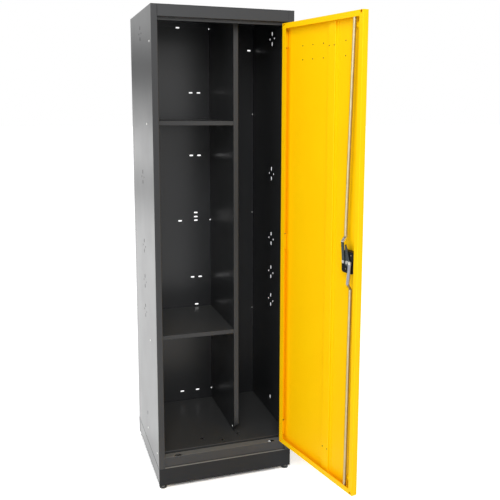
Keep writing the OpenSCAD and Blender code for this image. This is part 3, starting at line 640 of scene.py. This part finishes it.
class CABINET_OT_feet(bpy.types.Operator):
    """Adds the pale glides under the feet"""
    bl_idname = "cabinet.feet"
    bl_label = "Feet"

    def execute(self, context):
        top = context.scene.cabinet_small_parts.glide_height
        lower_in, lower_rise = GLIDE_LOWER_BEVEL
        upper_in, upper_drop = GLIDE_UPPER_BEVEL
        for name in CORNERS:
            low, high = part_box("foot_pad_" + name)
            centre = (low + high) / 2
            edge = (high.x - low.x) / 2
            profile = [(0, 0), (edge - lower_in, 0), (edge + GLIDE_OUT, lower_rise),
                       (edge + GLIDE_OUT, top - upper_drop), (edge - upper_in, top), (0, top)]
            glide = revolved(profile, (centre.x, centre.y, low.z), (0, 0, 1), GLIDE_SIDES)
            piece("foot_glide_" + name, [glide], finish("pale_glide_plastic"), "foot_" + name)
        return {"FINISHED"}


class CABINET_OT_studio(bpy.types.Operator):
    """Adds the pale floor, the sky, the three soft lamps and the camera"""
    bl_idname = "cabinet.studio"
    bl_label = "Studio"

    def execute(self, context):
        look = context.scene.cabinet_studio
        self.floor(look)
        self.world(context, look)
        self.lamp("left_softbox", look.left_light, *LEFT_LAMP)
        self.lamp("right_softbox", look.right_light, *RIGHT_LAMP)
        self.lamp("high_softbox", look.high_light, *HIGH_LAMP)
        self.camera(context, look)
        context.scene.view_settings.view_transform = "Standard"
        return {"FINISHED"}

    def floor(self, look):
        """A square plane on the ground. It is matt and pale. Where the camera or a mirror sees
        it, its colour is raised to make up for the studio's level, so that it is white where
        it is lit and keeps the object's shadow."""
        h = look.floor_size / 2
        mesh = bpy.data.meshes.new("studio_floor")
        mesh.from_pydata([(-h, -h, 0), (h, -h, 0), (h, h, 0), (-h, h, 0)], [], [(0, 1, 2, 3)])
        material, tree = new_material("matt_white_floor")
        matt = add_node(tree, "ShaderNodeBsdfDiffuse", {"Color": linear("#f4f4f4")})
        seen = add_node(tree, "ShaderNodeBsdfDiffuse", {"Color": (FLOOR_SEEN,) * 3 + (1,)})
        # In front of the plinth a mirror sees a duller floor than beside and behind the body,
        # and far behind, where no lamp reaches, its level is raised once more. A dull strip
        # there shows in the body's left side
        where = add_node(tree, "ShaderNodeTexCoord")
        along = add_node(tree, "ShaderNodeSeparateXYZ", {}, {0: where.outputs["Object"]})
        near = add_node(tree, "ShaderNodeMapRange", FLOOR_NEAR, {"Value": along.outputs["Y"]})
        far = add_node(tree, "ShaderNodeMapRange", FLOOR_FAR, {"Value": along.outputs["Y"]})
        off = add_node(tree, "ShaderNodeMath", {"operation": "SUBTRACT", 1: FLOOR_STRIP[0]},
                       {0: along.outputs["Y"]})
        off = add_node(tree, "ShaderNodeMath", {"operation": "ABSOLUTE"}, {0: off.outputs[0]})
        dull = add_node(tree, "ShaderNodeMapRange",
                        {"interpolation_type": "SMOOTHSTEP", "From Max": FLOOR_STRIP[1],
                         "To Min": FLOOR_STRIP[2], "To Max": 0.0}, {"Value": off.outputs[0]})
        level = add_node(tree, "ShaderNodeMath", {}, {0: near.outputs[0], 1: far.outputs[0]})
        level = add_node(tree, "ShaderNodeMath", {}, {0: level.outputs[0], 1: dull.outputs[0]})
        mirrored = add_node(tree, "ShaderNodeBsdfDiffuse", {}, {"Color": level.outputs[0]})
        ray = add_node(tree, "ShaderNodeLightPath")
        direct = add_node(tree, "ShaderNodeMath", {"operation": "MAXIMUM"},
                          {0: ray.outputs["Is Camera Ray"], 1: ray.outputs["Is Transmission Ray"]})
        pick = add_node(tree, "ShaderNodeMixShader", {},
                        {0: ray.outputs["Is Glossy Ray"], 1: matt.outputs[0],
                         2: mirrored.outputs[0]})
        pick = add_node(tree, "ShaderNodeMixShader", {},
                        {0: direct.outputs[0], 1: pick.outputs[0], 2: seen.outputs[0]})
        add_node(tree, "ShaderNodeOutputMaterial", {}, {"Surface": pick.outputs[0]})
        mesh.materials.append(material)
        floor = bpy.data.objects.new("studio_floor", mesh)
        bpy.context.scene.collection.objects.link(floor)

    def world(self, context, look):
        """White where it is seen or mirrored, and softer as a light. Far behind the object a
        mirror sees a dark strip of the studio's wall just over the horizon."""
        world = bpy.data.worlds.new("studio_sky")
        world.use_nodes = True
        tree = world.node_tree
        tree.nodes.clear()
        where = add_node(tree, "ShaderNodeTexCoord")
        way = add_node(tree, "ShaderNodeSeparateXYZ", {}, {0: where.outputs["Generated"]})
        off = add_node(tree, "ShaderNodeMath", {"operation": "SUBTRACT", 1: SKY_STRIP[0]},
                       {0: way.outputs["Z"]})
        off = add_node(tree, "ShaderNodeMath", {"operation": "ABSOLUTE"}, {0: off.outputs[0]})
        strip = add_node(tree, "ShaderNodeMapRange",
                         {"interpolation_type": "SMOOTHSTEP", "From Max": SKY_STRIP[1],
                          "To Min": SKY_STRIP[2]}, {"Value": off.outputs[0]})
        behind = add_node(tree, "ShaderNodeMapRange", SKY_BEHIND, {"Value": way.outputs["Y"]})
        mirrored = add_node(tree, "ShaderNodeMix", {2: 1.0},
                            {0: behind.outputs[0], 3: strip.outputs[0]})
        ray = add_node(tree, "ShaderNodeLightPath")
        seen = add_node(tree, "ShaderNodeMath", {"operation": "MAXIMUM"},
                        {0: ray.outputs["Is Camera Ray"], 1: ray.outputs["Is Transmission Ray"]})
        level = add_node(tree, "ShaderNodeMix", {2: look.sky},
                         {0: ray.outputs["Is Glossy Ray"], 3: mirrored.outputs[0]})
        level = add_node(tree, "ShaderNodeMix", {3: 1.0},
                         {0: seen.outputs[0], 2: level.outputs[0]})
        sky = add_node(tree, "ShaderNodeBackground", {"Color": (1, 1, 1, 1)},
                       {"Strength": level.outputs[0]})
        add_node(tree, "ShaderNodeOutputWorld", {}, {"Surface": sky.outputs[0]})
        context.scene.world = world

    def lamp(self, name, power, size, place, aim):
        """A large square lamp at a place, turned to what it lights."""
        light = bpy.data.lights.new(name, "AREA")
        light.shape = "SQUARE"
        light.size = size
        light.energy = power
        lamp = bpy.data.objects.new(name, light)
        bpy.context.scene.collection.objects.link(lamp)
        lamp.location = place
        lamp.rotation_euler = (Vector(aim) - Vector(place)).to_track_quat("-Z", "Y").to_euler()

    def camera(self, context, look):
        """The photograph's view: from the left, at four fifths of the body's height."""
        data = bpy.data.cameras.new("photo_camera")
        data.sensor_width = 36.0
        data.lens = look.lens
        data.shift_x, data.shift_y = CAMERA_SHIFT
        data.clip_end = 100.0
        camera = bpy.data.objects.new("photo_camera", data)
        context.scene.collection.objects.link(camera)
        yaw, pitch, roll = (math.radians(a) for a in (CAMERA_YAW, CAMERA_PITCH, CAMERA_ROLL))
        forward = Vector((math.sin(yaw) * math.cos(pitch), math.cos(yaw) * math.cos(pitch),
                          -math.sin(pitch)))
        level = Vector((math.cos(yaw), -math.sin(yaw), 0))
        upright = level.cross(forward)
        right = level * math.cos(roll) + upright * math.sin(roll)
        up = upright * math.cos(roll) - level * math.sin(roll)
        turn = Matrix((right, up, -forward)).transposed().to_4x4()
        place = Vector((BODY_LEFT, BODY_FRONT, PLINTH_LOW)) + CAMERA_PLACE
        camera.matrix_world = Matrix.Translation(place) @ turn
        context.scene.camera = camera


class CABINET_PT_panel(bpy.types.Panel):
    """Lists the pieces and their settings"""
    bl_idname = "CABINET_PT_panel"
    bl_label = "Storage cabinet"
    bl_space_type = "VIEW_3D"
    bl_region_type = "UI"
    bl_category = "Cabinet"

    def draw(self, context):
        scene = context.scene
        for group in (scene.cabinet_finishes, scene.cabinet_small_parts, scene.cabinet_studio):
            box = self.layout.box()
            for key in group.__annotations__:
                box.prop(group, key)
        for operator in OPERATORS:
            self.layout.operator(operator.bl_idname)


OPERATORS = (CABINET_OT_finishes, CABINET_OT_body_rivets, CABINET_OT_hinge_rivets,
             CABINET_OT_lock_fixings, CABINET_OT_dimple_shade_caps, CABINET_OT_feet, CABINET_OT_studio)
CLASSES = (CabinetFinishes, CabinetSmallParts, CabinetStudio) + OPERATORS + (CABINET_PT_panel,)


def register():
    """Registers the classes and hangs the settings on the scene."""
    for cls in CLASSES:
        bpy.utils.register_class(cls)
    bpy.types.Scene.cabinet_finishes = bpy.props.PointerProperty(type=CabinetFinishes)
    bpy.types.Scene.cabinet_small_parts = bpy.props.PointerProperty(type=CabinetSmallParts)
    bpy.types.Scene.cabinet_studio = bpy.props.PointerProperty(type=CabinetStudio)


def unregister():
    """Takes the settings and the classes away again."""
    del bpy.types.Scene.cabinet_studio
    del bpy.types.Scene.cabinet_small_parts
    del bpy.types.Scene.cabinet_finishes
    for cls in reversed(CLASSES):
        bpy.utils.unregister_class(cls)


def main():
    """Makes every piece and the studio."""
    register()
    for operator in OPERATORS:
        group, name = operator.bl_idname.split(".")
        getattr(getattr(bpy.ops, group), name)()


if __name__ == "__main__":
    main()
